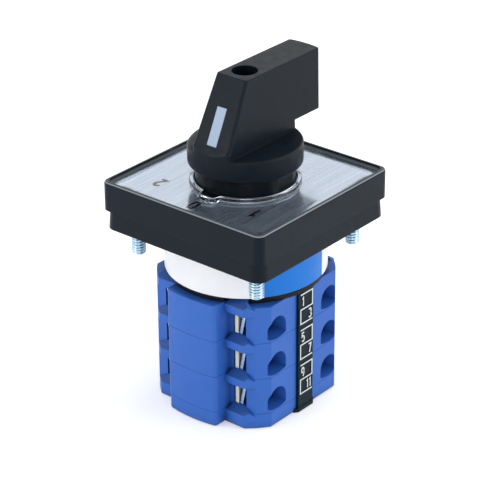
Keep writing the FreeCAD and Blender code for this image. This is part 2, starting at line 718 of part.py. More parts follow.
def make_terminal(z_top):
    top = z_top - TERMINAL_TOP_DROP
    foot = z_top - TERMINAL_FOOT_DROP
    cheek = block(
        TERMINAL_X, TERMINAL_X + SHEET, -(ENTRY_FACE_Y - 0.1), -TERMINAL_BACK_Y, foot, top,
    )
    tongue_top = z_top - TONGUE_DROP
    tongue = block(
        TONGUE_END_X, TERMINAL_X + SHEET, -(TERMINAL_BACK_Y + TONGUE_THICKNESS), -TERMINAL_BACK_Y,
        tongue_top - TONGUE_HEIGHT, tongue_top,
    )
    face_y = -(TERMINAL_BACK_Y + TONGUE_THICKNESS)
    middle = tongue_top - TONGUE_HEIGHT / 2
    button = rod(BUTTON_R, Vector(BUTTON_X, face_y, middle), Vector(BUTTON_X, face_y - BUTTON_HEIGHT, middle))
    screw_z = z_top - DRIVER_HOLE_DROP
    hole = rod(
        TERMINAL_SCREW_R + SQUARE_CLEARANCE,
        Vector(TERMINAL_X - 1, -DRIVER_HOLE_Y, screw_z),
        Vector(TERMINAL_X + SHEET + 1, -DRIVER_HOLE_Y, screw_z),
    )
    return united([cheek, tongue, button]).cut(hole)


def make_terminal_screw(z_top):
    middle = z_top - DRIVER_HOLE_DROP
    seat = Vector(TERMINAL_SCREW_HEAD_X, -DRIVER_HOLE_Y, middle)
    head = slotted_head(TERMINAL_SCREW_HEAD_R, TERMINAL_SCREW_HEAD, seat, Vector(1, 0, 0))
    shank = rod(TERMINAL_SCREW_R, Vector(TERMINAL_SCREW_TIP_X, -DRIVER_HOLE_Y, middle), seat)
    return united([head, shank])


def make_clamp_plate(z_top):
    "The tilted plate that the screw presses on the wire."
    middle = z_top - DRIVER_HOLE_DROP
    reach = ENTRY_FACE_Y - DRIVER_HOLE_Y - 0.1
    plate = block(-CLAMP_THICKNESS, 0, -reach, CLAMP_WIDTH / 2, -CLAMP_FALL, CLAMP_RISE)
    plate.rotate(Vector(0, 0, TERMINAL_SCREW_HEAD_R), Vector(0, 1, 0), CLAMP_TILT_DEG)
    plate.translate(Vector(TERMINAL_SCREW_HEAD_X, -DRIVER_HOLE_Y, middle))
    hole = rod(
        TERMINAL_SCREW_R + 0.3,
        Vector(TERMINAL_X, -DRIVER_HOLE_Y, middle),
        Vector(CHAMBER_OUTER_X, -DRIVER_HOLE_Y, middle),
    )
    return plate.cut(hole)


def bridge_face_y():
    return -(TERMINAL_BACK_Y + TONGUE_THICKNESS + BUTTON_HEIGHT + CONTACT_GAP)


def bridge_middle_z(z_top):
    return z_top - TONGUE_DROP - TONGUE_HEIGHT / 2


def make_bridge(z_top):
    "The moving contact that joins two terminals, with its two buttons."
    near = bridge_face_y() - BUTTON_HEIGHT
    far = near - BRIDGE_THICKNESS
    middle = bridge_middle_z(z_top)
    half = BRIDGE_HEIGHT / 2
    bar = block(-BRIDGE_HALF_LENGTH, BRIDGE_HALF_LENGTH, far, near, middle - half, middle + half)
    buttons = []
    for side in (-1, 1):
        x = side * BUTTON_X
        buttons.append(rod(BUTTON_R, Vector(x, near, middle), Vector(x, near + BUTTON_HEIGHT, middle)))
    return united([bar] + buttons)


def make_contact_slide(z_top):
    "The follower that the cam pushes outwards, with a window for the bridge and wings in the guide."
    top = z_top - SLIDE_TOP_DROP
    foot = top - SLIDE_HEIGHT
    up = Vector(0, 0, SLIDE_HEIGHT)
    nose = cylinder(NOSE_R, foot, top, 0, -NOSE_REST_Y)
    neck = prism([
        Vector(-NOSE_R, -NOSE_REST_Y, foot),
        Vector(NOSE_R, -NOSE_REST_Y, foot),
        Vector(SLIDE_HALF_WIDTH, -SLIDE_SHOULDER_Y, foot),
        Vector(-SLIDE_HALF_WIDTH, -SLIDE_SHOULDER_Y, foot),
    ], up)
    wing_y = -(SLIDE_REAR_Y - WING_LENGTH)
    stem = block(-SLIDE_HALF_WIDTH, SLIDE_HALF_WIDTH, wing_y, -SLIDE_SHOULDER_Y, foot, top)
    wings = block(-WING_HALF_WIDTH, WING_HALF_WIDTH, -SLIDE_REAR_Y, wing_y, foot, top)
    middle = bridge_middle_z(z_top)
    boss = rod(
        SPRING_BOSS_R,
        Vector(0, -SLIDE_REAR_Y, middle),
        Vector(0, -(SLIDE_REAR_Y + SPRING_BOSS_LENGTH), middle),
    )
    far = bridge_face_y() - BUTTON_HEIGHT - BRIDGE_THICKNESS - BRIDGE_CLEARANCE
    near = bridge_face_y() - BUTTON_HEIGHT + BRIDGE_CLEARANCE
    half = BRIDGE_HEIGHT / 2 + BRIDGE_CLEARANCE
    window = block(-SLIDE_HALF_WIDTH - 1, SLIDE_HALF_WIDTH + 1, far, near, middle - half, middle + half)
    return united([nose, neck, stem, wings, boss]).cut(window)


def make_contact_spring(z_top, side):
    seat = Vector(0, side * (SLIDE_REAR_Y + 0.05), bridge_middle_z(z_top))
    length = CHAMBER_END_Y - SLIDE_REAR_Y - 0.1
    return coil_spring(SPRING_MEAN_R, SPRING_WIRE_R, SPRING_TURNS, seat, length, Vector(0, side, 0))


# Turning pieces

def follower_distance(turn):
    "Nose centre from the shaft axis when the cam has this angle under the nose."
    return NOSE_REST_Y + STROKE * turn / TRAVEL


def cam_point(turn, z):
    """A point of the cam's working face.

    It lies inside the spiral that the nose centre follows, one nose radius and the
    clearance away. turn is the angle from the middle of the working arc.
    """
    rate = STROKE / TRAVEL
    reach = follower_distance(turn)
    size = math.hypot(reach, rate)
    offset = NOSE_R + NOSE_CLEARANCE
    radial = reach - offset * reach / size
    along = offset * rate / size
    angle = turn - math.pi / 2
    x = radial * math.cos(angle) - along * math.sin(angle)
    y = radial * math.sin(angle) + along * math.cos(angle)
    return Vector(x, y, z)


def make_cam(z_top):
    "Two mirrored spirals, one for each contact, joined by plain arcs."
    z = z_top - CAM_TOP_DROP - CAM_THICKNESS
    margin = math.radians(2.0)
    steps = 16
    low = -TRAVEL - margin
    turns = [low + (TRAVEL + margin) * 2 * step / steps for step in range(steps + 1)]
    front = [cam_point(turn, z) for turn in turns]
    back = [Vector(point.x, -point.y, z) for point in front]
    edges = []
    for points in (front, back):
        curve = Part.BSplineCurve()
        curve.interpolate(Points=points)
        edges.append(curve.toShape())
    high_r = math.hypot(front[-1].x, front[-1].y)
    low_r = math.hypot(front[0].x, front[0].y)
    edges.append(Part.Arc(front[-1], Vector(high_r, 0, z), back[-1]).toShape())
    edges.append(Part.Arc(front[0], Vector(-low_r, 0, z), back[0]).toShape())
    disc = Part.Face(Part.Wire(Part.sortEdges(edges)[0])).extrude(Vector(0, 0, CAM_THICKNESS))
    hub = cylinder(HUB_R, z_top - STAGE_PITCH + SQUARE_CLEARANCE, z_top - SQUARE_CLEARANCE)
    hole = square_bar(SHAFT_SIDE + 2 * SQUARE_CLEARANCE, z_top - STAGE_PITCH, z_top)
    return united([disc, hub]).cut(hole)


def make_shaft():
    square_foot = STACK_END_Z + SQUARE_CLEARANCE
    bar = square_bar(SHAFT_SIDE, square_foot, SHAFT_TOP_Z)
    journal = cylinder(SHAFT_END_R, STACK_END_Z - SHAFT_END_LENGTH, square_foot)
    thread_foot = SCREW_SEAT_Z - HANDLE_SCREW_LENGTH - 0.5
    thread = cylinder(HANDLE_SCREW_R + SQUARE_CLEARANCE, thread_foot, SHAFT_TOP_Z)
    return united([bar, journal]).cut(thread)


def lever_side_outline():
    "The lever seen from +X: sloping front with a flared toe, flat top, overhanging rear and a neck."
    def at(y, z):
        return Vector(-10, y, z)

    foot = DISC_BOTTOM_Z + 1.0
    toe_y = -DISC_R - 0.3
    middle = at((LEVER_NOSE_Y + toe_y) / 2 - 0.02, (LEVER_NOSE_Z + NOSE_RIM_Z) / 2 + 0.02 - TOE_SAG)
    toe = Part.Arc(at(LEVER_NOSE_Y, LEVER_NOSE_Z), middle, at(toe_y, NOSE_RIM_Z)).toShape()
    rear_y = LEVER_REAR_TOP_R + 1
    corners = [
        at(toe_y, NOSE_RIM_Z),
        at(toe_y, foot),
        at(LEVER_NECK_Y, foot),
        at(LEVER_NECK_Y, LEVER_OVERHANG_Z),
        at(rear_y, LEVER_OVERHANG_Z),
        at(rear_y, LEVER_TOP_Z),
        at(LEVER_FRONT_Y, LEVER_TOP_Z),
        at(LEVER_NOSE_Y, LEVER_NOSE_Z),
    ]
    lines = [Part.LineSegment(a, b).toShape() for a, b in zip(corners, corners[1:])]
    return Part.Face(Part.Wire(Part.sortEdges(lines + [toe])[0]))


def make_lever():
    side = lever_side_outline().extrude(Vector(20, 0, 0))
    slope = (LEVER_FOOT_HALF - LEVER_TOP_HALF) / (LEVER_TOP_Z - DISC_TOP_Z)
    foot = DISC_BOTTOM_Z
    foot_half = LEVER_TOP_HALF + slope * (LEVER_TOP_Z - foot)
    y = -DISC_R - 2
    front = prism([
        Vector(-foot_half, y, foot),
        Vector(foot_half, y, foot),
        Vector(LEVER_TOP_HALF, y, LEVER_TOP_Z),
        Vector(-LEVER_TOP_HALF, y, LEVER_TOP_Z),
    ], Vector(0, LEVER_REAR_TOP_R + DISC_R + 4, 0))
    lever = side.common(front)
    height = LEVER_TOP_Z - DISC_BOTTOM_Z
    lean = (LEVER_REAR_TOP_R - LEVER_REAR_FOOT_R) / (LEVER_TOP_Z - LEVER_OVERHANG_Z)
    rear = Part.makeCone(
        LEVER_REAR_TOP_R - lean * height, LEVER_REAR_TOP_R, height, Vector(0, 0, DISC_BOTTOM_Z)
    )
    rear = rear.common(block(-10, 10, 0, LEVER_REAR_TOP_R + 1, DISC_BOTTOM_Z, LEVER_TOP_Z))
    bound = cylinder(DISC_R, DISC_BOTTOM_Z, LEVER_TOP_Z).fuse(rear)
    lever = lever.common(bound).removeSplitter()
    upright = []
    for edge in lever.Edges:
        box = edge.BoundBox
        one_sided = box.XMin * box.XMax > 0
        level = box.ZLength < 1e-6
        if one_sided and box.ZMax > DISC_TOP_Z and not level:
            upright.append(edge)
    lever = lever.makeFillet(LEVER_EDGE_R, upright)
    top = [edge for edge in lever.Edges if edge.BoundBox.ZMin > LEVER_TOP_Z - 0.01]
    return lever.makeFillet(LEVER_TOP_EDGE_R, top)


def rounded_disc(radius, x, foot_r, rim_r):
    disc = cylinder(radius, DISC_BOTTOM_Z, DISC_TOP_Z, x, 0)
    foot = [edge for edge in disc.Edges if edge.BoundBox.ZMax < DISC_BOTTOM_Z + 1e-6]
    disc = disc.makeFillet(foot_r, foot)
    rim = [edge for edge in disc.Edges if edge.BoundBox.ZMin > DISC_TOP_Z - 1e-6]
    return disc.makeFillet(rim_r, rim)


def make_disc():
    "The disc, its upper rim rounded little at the right and more towards the left."
    even = rounded_disc(DISC_R, 0, DISC_FOOT_EDGE_R, DISC_RIGHT_EDGE_R)
    soft = rounded_disc(DISC_R + DISC_SHIFT + 0.05, DISC_SHIFT, 0.05, DISC_LEFT_EDGE_R)
    return even.common(soft)


def front_slope():
    "Unit vectors down the lever's front face and out of it."
    down = Vector(0, LEVER_NOSE_Y - LEVER_FRONT_Y, LEVER_NOSE_Z - LEVER_TOP_Z)
    down.normalize()
    out = Vector(0, down.z, -down.y)
    return down, out


def pointer_block(width, depth, proud):
    "The bar of the pointer, sunk to depth in the sloping front face."
    down, out = front_slope()
    start = Vector(0, LEVER_FRONT_Y, LEVER_TOP_Z) + down * ((POINTER_TOP_Z - LEVER_TOP_Z) / down.z)
    end = Vector(0, LEVER_FRONT_Y, LEVER_TOP_Z) + down * ((POINTER_FOOT_Z - LEVER_TOP_Z) / down.z)
    side = Vector(width / 2, 0, 0)
    ring = [start - side, start + side, end + side, end - side]
    sunk = [point - out * depth for point in ring]
    return prism(sunk, out * (depth + proud))


def make_handle():
    boss = cylinder(BOSS_R, BOSS_BOTTOM_Z, DISC_BOTTOM_Z + 1)
    hollow = cylinder(BOSS_R - BOSS_RING_WALL, BOSS_BOTTOM_Z, DISC_BOTTOM_Z)
    boss = boss.cut(hollow)
    socket = cylinder(SOCKET_R, BOSS_BOTTOM_Z, DISC_BOTTOM_Z + 1)
    ribs = [
        block(-BOSS_R + 0.5, BOSS_R - 0.5, -0.7, 0.7, BOSS_BOTTOM_Z, DISC_BOTTOM_Z + 1),
        block(-0.7, 0.7, -BOSS_R + 0.5, BOSS_R - 0.5, BOSS_BOTTOM_Z, DISC_BOTTOM_Z + 1),
    ]
    handle = united([make_disc(), make_lever(), boss, socket] + ribs)
    cuts = [
        square_bar(SHAFT_SIDE + 2 * SQUARE_CLEARANCE, BOSS_BOTTOM_Z, SHAFT_TOP_Z + SCREW_CLEARANCE),
        cylinder(HANDLE_SCREW_R + SCREW_CLEARANCE, SHAFT_TOP_Z, SCREW_SEAT_Z),
        cylinder(DRIVER_BORE_R, SCREW_SEAT_Z, LEVER_TOP_Z + 1),
        pointer_block(POINTER_WIDTH, POINTER_DEPTH, 1.0),
    ]
    return handle.cut(cuts)


def make_handle_screw():
    seat = Vector(0, 0, SCREW_SEAT_Z)
    head = slotted_head(HANDLE_SCREW_HEAD_R, HANDLE_SCREW_HEAD_HEIGHT, seat, Vector(0, 0, 1))
    shank = cylinder(HANDLE_SCREW_R, SCREW_SEAT_Z - HANDLE_SCREW_LENGTH, SCREW_SEAT_Z)
    return united([head, shank])


def stage_nodes(number):
    "All nodes of one stage by name. Terminals are numbered as on the strips."
    z_top = STACK_TOP_Z - (number - 1) * STAGE_PITCH
    first = 4 * (number - 1)
    nodes = {
        "stage_housing_%d" % number: make_stage(z_top),
        "cam_%d" % number: make_cam(z_top),
    }
    corners = four_corners(make_terminal(z_top))
    for place, terminal in enumerate(corners):
        nodes["terminal_%02d" % (first + place + 1)] = terminal
    for half, name in enumerate(("%d_%d" % (first + 1, first + 2), "%d_%d" % (first + 3, first + 4))):
        back = half == 1
        nodes["contact_slide_" + name] = flipped(make_contact_slide(z_top), y=back)
        nodes["contact_bridge_" + name] = flipped(make_bridge(z_top), y=back)
        nodes["contact_spring_" + name] = make_contact_spring(z_top, 1 if back else -1)
    return nodes


def all_nodes():
    nodes = {
        "base_plate": make_base_plate(),
        "bezel_frame": make_bezel_frame(),
        "dial_plate": make_dial_plate(),
        "clear_cover": make_clear_cover(),
        "panel_screws": make_panel_screws(),
        "plate_screws": make_plate_screws(),
        "detent_housing": make_detent_housing(),
        "rating_label": make_rating_label(),
        "spacer_plate": make_spacer_plate(),
        "star_wheel": make_star_wheel(),
        "end_cap": make_end_cap(),
        "tie_screws": make_tie_screws(),
        "shaft": make_shaft(),
        "handle": make_handle(),
        "handle_screw": make_handle_screw(),
        "pointer_inlay": pointer_block(POINTER_WIDTH, POINTER_DEPTH, POINTER_PROUD),
    }
    for name, back in (("front", False), ("back", True)):
        nodes["detent_slide_" + name] = flipped(make_detent_slide(), y=back)
        nodes["detent_spring_" + name] = make_detent_spring(1 if back else -1)
    strip = make_number_strip()
    nodes["number_strip_odd"] = strip
    nodes["number_strip_even"] = flipped(strip, x=True)
    screws = []
    clamps = []
    for number in range(1, STAGES + 1):
        nodes.update(stage_nodes(number))
        z_top = STACK_TOP_Z - (number - 1) * STAGE_PITCH
        screws.extend(four_corners(make_terminal_screw(z_top)))
        clamps.extend(four_corners(make_clamp_plate(z_top)))
    nodes["terminal_screws"] = Part.makeCompound(screws)
    nodes["clamp_plates"] = Part.makeCompound(clamps)
    return nodes


def main():
    os.makedirs("parts", exist_ok=True)
    for name, shape in all_nodes().items():
        shape.exportStep(os.path.join("parts", name + ".step"))
        print(name, len(shape.Solids), round(shape.Volume, 1), shape.isValid())


main()
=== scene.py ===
import math

import bmesh
import bpy
from mathutils import Matrix, Vector


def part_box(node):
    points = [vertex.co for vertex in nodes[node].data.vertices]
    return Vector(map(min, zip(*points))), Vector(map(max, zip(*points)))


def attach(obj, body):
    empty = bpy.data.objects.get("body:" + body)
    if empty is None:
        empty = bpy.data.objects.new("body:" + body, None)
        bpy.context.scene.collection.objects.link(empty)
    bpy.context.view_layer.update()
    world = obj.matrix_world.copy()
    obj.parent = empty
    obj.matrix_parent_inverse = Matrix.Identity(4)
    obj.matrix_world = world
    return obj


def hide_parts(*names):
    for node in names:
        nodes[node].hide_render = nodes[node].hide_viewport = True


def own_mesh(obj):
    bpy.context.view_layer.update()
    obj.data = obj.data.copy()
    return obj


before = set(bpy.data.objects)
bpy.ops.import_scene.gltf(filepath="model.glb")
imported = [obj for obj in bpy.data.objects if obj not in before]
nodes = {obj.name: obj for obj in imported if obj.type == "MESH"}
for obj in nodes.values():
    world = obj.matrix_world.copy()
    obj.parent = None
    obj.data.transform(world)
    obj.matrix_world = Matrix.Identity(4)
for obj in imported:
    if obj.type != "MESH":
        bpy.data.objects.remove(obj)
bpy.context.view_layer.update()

MM = 0.001

# Faces of the solids that pieces, tones and the floor are set against, in mm.
FLOOR_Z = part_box("end_cap")[0].z / MM
DIAL_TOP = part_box("dial_plate")[1].z / MM
PANE_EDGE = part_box("clear_cover")[1].x / MM
STRIP_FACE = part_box("number_strip_odd")[1].x / MM
STRIP_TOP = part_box("number_strip_odd")[1].z / MM
STAGE_PITCH = (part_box("stage_housing_1")[0].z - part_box("stage_housing_2")[0].z) / MM
STAGES = 3

# How far a print stands off the face below it, in mm.
PRINT_LIFT = 0.02


# Camera

def aim_camera():
    "The photograph's view: azimuth 39.9 and elevation 26.8 degrees, 0.5 m away."
    azimuth = math.radians(39.888)
    elevation = math.radians(26.836)
    roll = math.radians(-0.442)
    target = Vector((7.576, -9.808, 0.0)) * MM
    distance = 499.887 * MM
    back = Vector((
        math.cos(elevation) * math.sin(azimuth),
        -math.cos(elevation) * math.cos(azimuth),
        math.sin(elevation),
    ))
    right = Vector((math.cos(azimuth), math.sin(azimuth), 0.0))
    up = back.cross(right)
    turned_right = right * math.cos(roll) + up * math.sin(roll)
    turned_up = up * math.cos(roll) - right * math.sin(roll)
    data = bpy.data.cameras.new("camera")
    data.sensor_width = 36.0
    data.lens = 159.19
    data.clip_start = 0.01
    camera = bpy.data.objects.new("camera", data)
    bpy.context.scene.collection.objects.link(camera)
    turn = Matrix((turned_right, turned_up, back)).transposed().to_4x4()
    camera.matrix_world = Matrix.Translation(target + back * distance) @ turn
    bpy.context.scene.camera = camera


# Materials

# Bands of how far a face looks up: 0 for an upright face, 1 for a level one. A tone comes in from the
# first value of its band to the second, and goes out from the third to the fourth.
# RAMPS mark where painted shade falls; ROUNDED_RIMS and TOPS mark where painted highlights go.
RAMPS = (0.735, 0.765, 0.8, 0.84)
ROUNDED_RIMS = (0.5, 0.62, 0.86, 0.95)
TOPS = (0.93, 0.98, 2.0, 3.0)

# The shares of open sky at which a hollow's painted shade is darkest and at which its tone is left alone,
# and how steeply the painted shade deepens between them.
DARKEST_SKY = 0.25
CLEAR_SKY = 0.9
HOLLOW_FALLOFF = 1.6

# The cool tint of the painted highlights and painted light.
PAINTED_LIGHT_TINT = (0.8, 0.92, 1.0)


def srgb(red, green, blue):
    "A linear colour from 0 to 255 screen values."
    def linear(value):
        value = value / 255
        if value <= 0.04045:
            return value / 12.92
        return ((value + 0.055) / 1.055) ** 2.4

    return (linear(red), linear(green), linear(blue), 1.0)


def toned(colour, factor):
    return tuple(value * factor for value in colour[:3]) + (1.0,)


class Shader:
    "A new material with its Principled shader and short ways to add nodes to it."

    def __init__(self, name):
        self.material = bpy.data.materials.new(name)
        self.material.use_nodes = True
        self.tree = self.material.node_tree
        self.principled = self.tree.nodes["Principled BSDF"]
        self.place = self.add("ShaderNodeTexCoord").outputs["Object"]

    def add(self, kind, links=None, **values):
        node = self.tree.nodes.new(kind)
        for key, value in values.items():
            node.inputs[key.replace("_", " ")].default_value = value
        for key, source in (links or {}).items():
            self.tree.links.new(source, node.inputs[key])
        return node

    def set(self, **values):
        for key, value in values.items():
            self.principled.inputs[key.replace("_", " ")].default_value = value

    def link(self, key, source):
        self.tree.links.new(source, self.principled.inputs[key])

    def noise(self, scale, detail, stretch=None):
        "Noise with features of about 1 / scale metres, drawn out along an axis by stretch."
        place = self.place
        if stretch:
            mapping = self.add("ShaderNodeMapping", {"Vector": place})
            mapping.inputs["Scale"].default_value = stretch
            place = mapping.outputs["Vector"]
        node = self.add("ShaderNodeTexNoise", {"Vector": place}, Scale=scale, Detail=detail)
        return node.outputs["Fac"]

    def between(self, factor, low, high, start=0.35, end=0.65):
        "A value from low to high as factor goes from start to end."
        node = self.add("ShaderNodeMapRange", {"Value": factor})
        node.inputs["From Min"].default_value = start
        node.inputs["From Max"].default_value = end
        node.inputs["To Min"].default_value = low
        node.inputs["To Max"].default_value = high
        return node.outputs["Result"]

    def two_tone(self, factor, dark, light, start=0.3, end=0.7):
        "A colour from dark to light as factor goes from start to end."
        ramp = self.add("ShaderNodeValToRGB", {"Fac": factor})
        ramp.color_ramp.elements[0].position = start
        ramp.color_ramp.elements[0].color = dark
        ramp.color_ramp.elements[1].position = end
        ramp.color_ramp.elements[1].color = light
        return ramp.outputs["Color"]

    def combine(self, family, kind, first, second):
        "A node of two inputs, each of which is a socket to link or a value to set."
        node = self.add(family)
        node.operation = kind
        for socket, value in zip(node.inputs, (first, second)):
            if isinstance(value, (float, tuple)):
                socket.default_value = value
            else:
                self.tree.links.new(value, socket)
        return node.outputs[0]

    def math(self, kind, first, second):
        "A sum, product or other outcome of two numbers."
        return self.combine("ShaderNodeMath", kind, first, second)

    def colour_math(self, kind, first, second):
        "A sum or product of two colours."
        return self.combine("ShaderNodeVectorMath", kind, first, second)

    def parts(self, vector):
        return self.add("ShaderNodeSeparateXYZ", {"Vector": vector}).outputs

    def looking_up(self, band):
        "1 on faces within the band and 0 on faces outside it."
        low, full, fade, gone = band
        normal = self.add("ShaderNodeNewGeometry").outputs["Normal"]
        rise = self.parts(normal)["Z"]
        enter = self.between(rise, 0.0, 1.0, low, full)
        leave = self.between(rise, 1.0, 0.0, fade, gone)
        return self.math("MULTIPLY", enter, leave)

    def darken_hollows(self, colour, depth, reach, ramp_depth=0.0):
        """The colour with painted shade: less bright by depth in hollows up to reach mm wide, and by
        ramp_depth on ramps.
        """
        sky = self.add("ShaderNodeAmbientOcclusion", Distance=reach * MM)
        sky.samples = 8
        hidden = self.between(sky.outputs["AO"], 1.0, 0.0, DARKEST_SKY, CLEAR_SKY)
        hollow = self.math("POWER", hidden, HOLLOW_FALLOFF)
        shade = self.math("SUBTRACT", 1.0, self.math("MULTIPLY", hollow, depth))
        if ramp_depth:
            ramp = self.math("MULTIPLY", self.looking_up(RAMPS), ramp_depth)
            shade = self.math("MULTIPLY", shade, self.math("SUBTRACT", 1.0, ramp))
        return self.colour_math("MULTIPLY", colour, shade)

    def darken_above(self, colour, height, keep):
        """The colour with a painted shadow: only keep of its brightness above the height in mm."""
        z = self.parts(self.place)["Z"]
        shade = self.between(z, 1.0, keep, height * MM, (height + 1.0) * MM)
        return self.colour_math("MULTIPLY", colour, shade)

    def lighten(self, colour, mask, gain):
        """The colour with painted cool light of the given gain added where the mask is 1."""
        light = tuple(gain * part for part in PAINTED_LIGHT_TINT)
        return self.colour_math("ADD", colour, self.colour_math("MULTIPLY", mask, light))

    def light_rim(self, colour, gain):
        """The colour with painted highlights: lighter by gain on the rounded rims and by a quarter of it on
        the tops.
        """
        tops = self.math("MULTIPLY", self.looking_up(TOPS), 0.25)
        return self.lighten(colour, self.math("ADD", self.looking_up(ROUNDED_RIMS), tops), gain)

    def light_inside(self, colour, gain, reach, foot, top):
        """The colour with painted light: lighter by gain low on the walls within reach of the axis; all
        lengths in mm.
        """
        place = self.parts(self.place)
        x = self.math("ABSOLUTE", place["X"], 0.0)
        y = self.math("ABSOLUTE", place["Y"], 0.0)
        away = self.math("MAXIMUM", x, y)
        within = self.between(away, 1.0, 0.0, reach * MM, (reach + 0.1) * MM)
        low = self.between(place["Z"], 1.0, 0.0, foot * MM, top * MM)
        return self.lighten(colour, self.math("MULTIPLY", within, low), gain)

    def bump(self, height, depth, strength, soft_edge=None):
        "Relief of the given depth in mm, over edges that look rounded by soft_edge mm."
        links = {"Height": height}
        if soft_edge:
            bevel = self.add("ShaderNodeBevel", Radius=soft_edge * MM)
            bevel.samples = 6
            links["Normal"] = bevel.outputs["Normal"]
        node = self.add("ShaderNodeBump", links, Strength=strength, Distance=depth * MM)
        self.link("Normal", node.outputs["Normal"])


def varied(shader, noise, colour, variation, shade):
    """Gives the shader a colour that varies with the noise and has gone through shade, which paints light
    and shade into it, if there is one.
    """
    tone = shader.two_tone(noise, toned(colour, 1 - variation), toned(colour, 1 + variation))
    shader.link("Base Color", shade(shader, tone) if shade else tone)


def moulded_plastic(
    name, colour, rough, grain=0.012, variation=0.08, soft_edge=0.22, specular=0.5, shade=None
):
    """Plastic out of a mould: a slow change of tone and edges that catch the light.

    The depth of its grain and the radius that its edges seem to have are in mm.
    """
    shader = Shader(name)
    varied(shader, shader.noise(60.0, detail=2.0), colour, variation, shade)
    shader.link("Roughness", shader.between(shader.noise(420.0, detail=4.0), rough - 0.05, rough + 0.06))
    shader.set(Specular_IOR_Level=specular)
    shader.bump(shader.noise(3800.0, detail=2.0), grain, strength=0.6, soft_edge=soft_edge)
    return shader.material


def drawn_metal(name, colour, rough, variation=0.05, metallic=1.0, shade=None):
    "Plated or drawn metal with small stains and scratches."
    shader = Shader(name)
    varied(shader, shader.noise(260.0, detail=3.0), colour, variation, shade)
    shader.link("Roughness", shader.between(shader.noise(900.0, detail=3.0), rough - 0.06, rough + 0.08))
    shader.set(Metallic=metallic)
    shader.bump(shader.noise(4000.0, detail=2.0), 0.002, strength=0.4, soft_edge=0.1)
    return shader.material


def brushed_dial():
    "Silver sheet brushed along Y."
    shader = Shader("brushed_dial")
    streaks = shader.noise(3600.0, detail=3.0, stretch=(1.0, 0.012, 1.0))
    shader.link("Base Color", shader.two_tone(streaks, srgb(178, 198, 224), srgb(220, 233, 249)))
    shader.link("Roughness", shader.between(streaks, 0.14, 0.24))
    shader.set(Metallic=0.82)
    shader.bump(streaks, 0.002, strength=0.5)
    return shader.material


def clear_plastic():
    "Clear plastic with a slight waviness."
    shader = Shader("clear_plastic")
    shader.set(Base_Color=(1.0, 1.0, 1.0, 1.0), IOR=1.49, Transmission_Weight=1.0)
    shader.link("Roughness", shader.between(shader.noise(900.0, detail=4.0), 0.01, 0.05))
    shader.bump(shader.noise(160.0, detail=2.0), 0.004, strength=0.3)
    return shader.material


def label_film():
    "Glossy white film."
    shader = Shader("label_film")
    film = shader.two_tone(shader.noise(90.0, detail=3.0), srgb(240, 242, 247), srgb(248, 250, 252))
    shader.link("Base Color", film)
    shader.link("Roughness", shader.between(shader.noise(700.0, detail=3.0), 0.28, 0.38))
    shader.bump(shader.noise(1800.0, detail=2.0), 0.006, strength=0.5)
    return shader.material


def print_ink(name, dark, light):
    "Dull ink that is a little uneven."
    shader = Shader(name)
    shader.link("Base Color", shader.two_tone(shader.noise(2500.0, detail=4.0), dark, light, 0.25, 0.75))
    shader.link("Roughness", shader.between(shader.noise(1500.0, detail=2.0), 0.65, 0.8))
    shader.set(Specular_IOR_Level=0.05)
    return shader.material


def shade_base(shader, tone):
    """The base plate: painted shade in its corners, and a painted shadow that keeps the neck dark under the
    handle.
    """
    tone = shader.darken_hollows(tone, depth=0.7, reach=8.0)
    return shader.darken_above(tone, DIAL_TOP, keep=0.4)


def shade_bezel(shader, tone):
    "The bezel frame: light on the rim and at the foot of the lip's inner wall."
    gain = 0.3
    tone = shader.light_rim(tone, gain)
    return shader.light_inside(
        tone, gain, reach=PANE_EDGE + 0.35, foot=DIAL_TOP + 0.9, top=DIAL_TOP + 1.6
    )


def shade_stage(shader, tone):
    """The blue stages: painted shade in corners and hollows and on the ramps."""
    return shader.darken_hollows(tone, depth=0.5, reach=4.0, ramp_depth=0.42)


def shade_terminal(shader, tone):
    """The terminals: painted shade where they stand deep in their entries."""
    return shader.darken_hollows(tone, depth=0.85, reach=3.0)


def dress(material, *names):
    for name in names:
        slots = nodes[name].data.materials
        slots.clear()
        slots.append(material)


